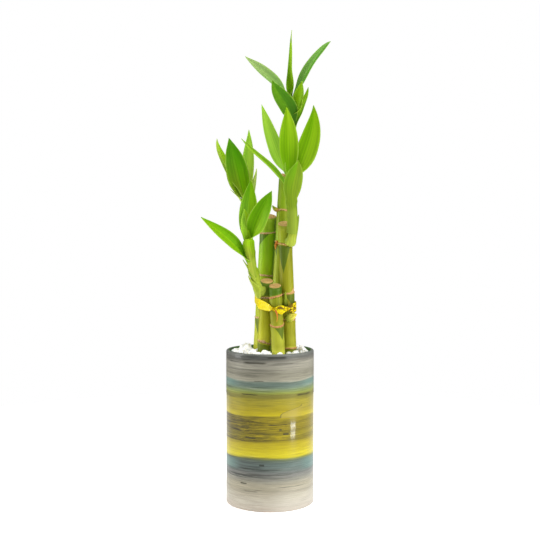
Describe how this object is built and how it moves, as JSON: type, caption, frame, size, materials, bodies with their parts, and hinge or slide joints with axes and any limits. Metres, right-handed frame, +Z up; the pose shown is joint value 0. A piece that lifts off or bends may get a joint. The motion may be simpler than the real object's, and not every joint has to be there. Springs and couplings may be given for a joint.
{
  "type": "potted lucky bamboo",
  "caption": "Cut green canes with leafy shoots, tied with a ribbon and standing in a round glazed vase filled with white pebbles.",
  "frame": {"origin": "centre of the vase's underside, on the surface it stands on", "axes": "+Z up along the vase's axis; -Y is the front, the side with the ribbon's knot and the cut tops of the two short canes; +X is to the right when seen from the front"},
  "size_m": [0.116, 0.08, 0.4296],
  "materials": {
    "glaze": "glossy running glaze in level bands of grey-beige, olive, yellow and grey-blue",
    "pebble": "smooth tumbled white marble",
    "cane": "smooth satin green skin with tan cut ends and raised node rings",
    "ribbon": "glossy yellow film with creases",
    "bud": "satin green bud scales with a brown base",
    "root": "matte orange-brown aerial root",
    "stem": "satin pale green",
    "bract": "satin pale green with parallel veins",
    "leaf": "satin green with parallel veins and a paler underside"
  },
  "bodies": {
    "root": {"vase": "glaze", "pebble_bed": "pebble", "pebble_01": "pebble", "pebble_02": "pebble", "pebble_03": "pebble", "pebble_04": "pebble", "pebble_05": "pebble", "pebble_06": "pebble", "pebble_07": "pebble", "pebble_08": "pebble", "pebble_09": "pebble", "pebble_10": "pebble", "pebble_11": "pebble", "pebble_12": "pebble", "pebble_13": "pebble", "pebble_14": "pebble", "cane_back_left": "cane", "cane_front": "cane", "cane_left": "cane", "cane_right": "cane", "cane_tallest": "cane", "ribbon_tie": "ribbon", "gap_bud": "bud", "right_cane_bud": "bud", "tallest_cane_bud": "bud", "front_cane_root": "root", "tallest_cane_root": "root", "back_shoot_stem": "stem", "left_shoot_stem": "stem", "right_shoot_stem": "stem", "top_shoot_stem": "stem", "left_bract_back": "bract", "left_bract_base": "bract", "left_bract_front": "bract", "left_bract_high": "bract", "left_bract_low": "bract", "left_bract_right": "bract", "right_bract": "bract", "back_leaf_front": "leaf", "back_leaf_left": "leaf", "back_leaf_low": "leaf", "back_leaf_right": "leaf", "back_leaf_small": "leaf", "left_leaf_centre": "leaf", "left_leaf_inner": "leaf", "left_leaf_left": "leaf", "left_leaf_right": "leaf", "right_leaf_centre": "leaf", "right_leaf_far_left": "leaf", "right_leaf_front": "leaf", "right_leaf_left": "leaf", "right_leaf_right": "leaf", "top_leaf_centre": "leaf", "top_leaf_front": "leaf", "top_leaf_left": "leaf", "top_leaf_right": "leaf", "top_leaf_short": "leaf", "top_leaf_slim": "leaf"}
  },
  "joints": []
}
